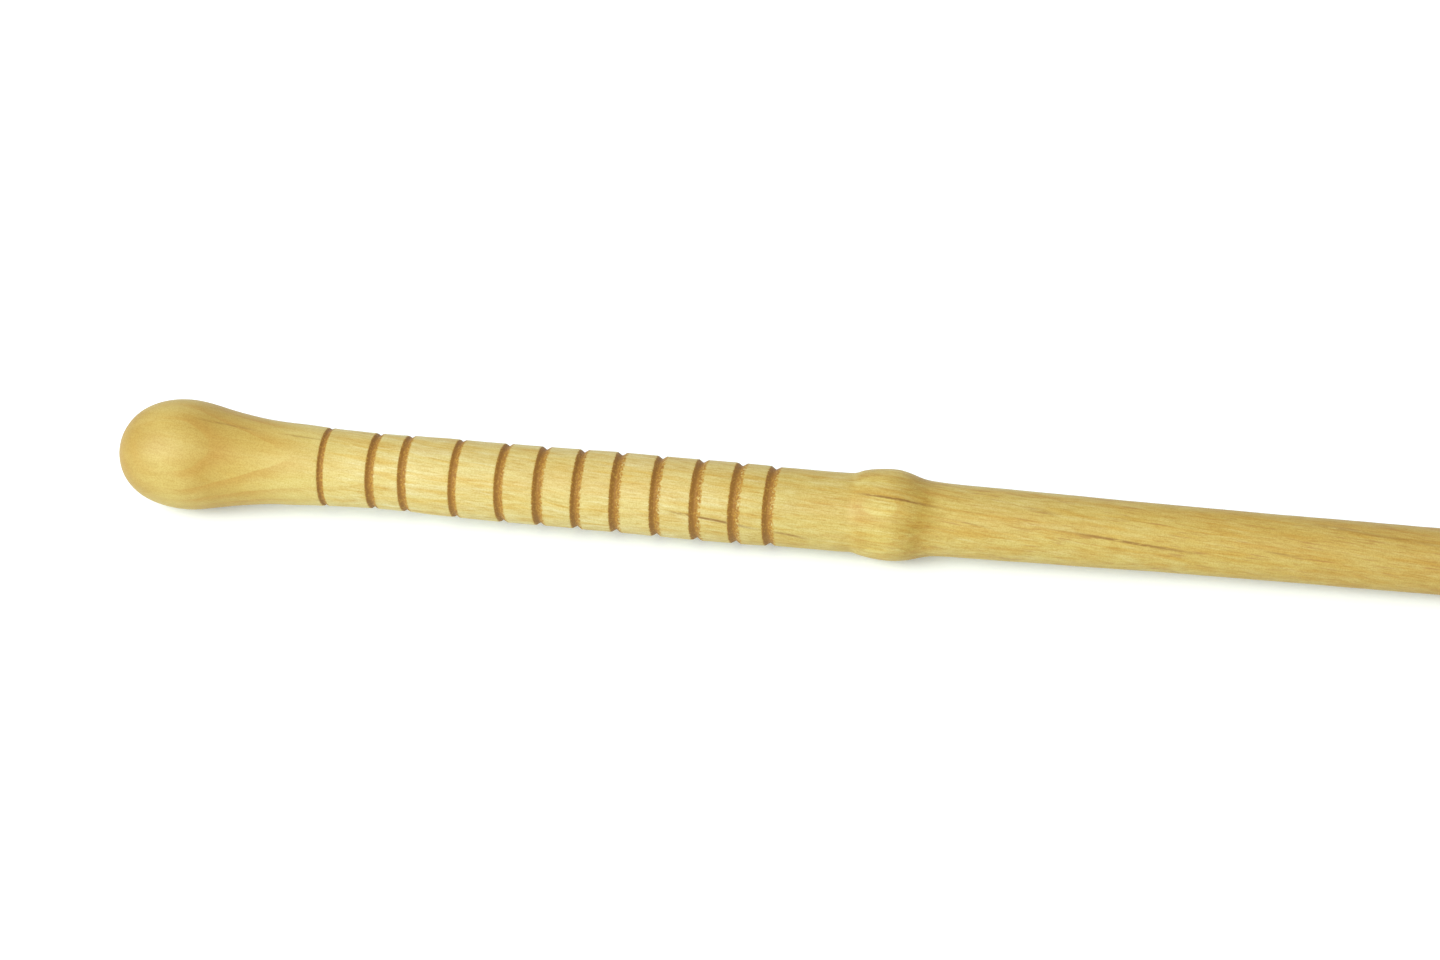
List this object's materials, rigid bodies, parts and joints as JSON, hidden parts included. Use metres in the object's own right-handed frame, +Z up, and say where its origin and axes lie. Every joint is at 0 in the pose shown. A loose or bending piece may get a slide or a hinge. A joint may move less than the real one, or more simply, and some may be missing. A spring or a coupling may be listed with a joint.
{
  "type": "turned wooden wand",
  "caption": "Turned wooden wand with a ball pommel, a grip cut with burnt ring grooves, a collar bead and a tapered shaft.",
  "frame": {"origin": "on the wand's axis at the middle of the grip, 79.6 mm from the ball's end", "axes": "+X along the wand from the ball to the tip, +Z up as it lies"},
  "size_m": [0.33, 0.0198, 0.02],
  "materials": {
    "oiled_wood": "satin oiled pale hardwood, with ring grooves burnt brown"
  },
  "bodies": {
    "root": {"turned_wand": "oiled_wood"}
  },
  "joints": []
}
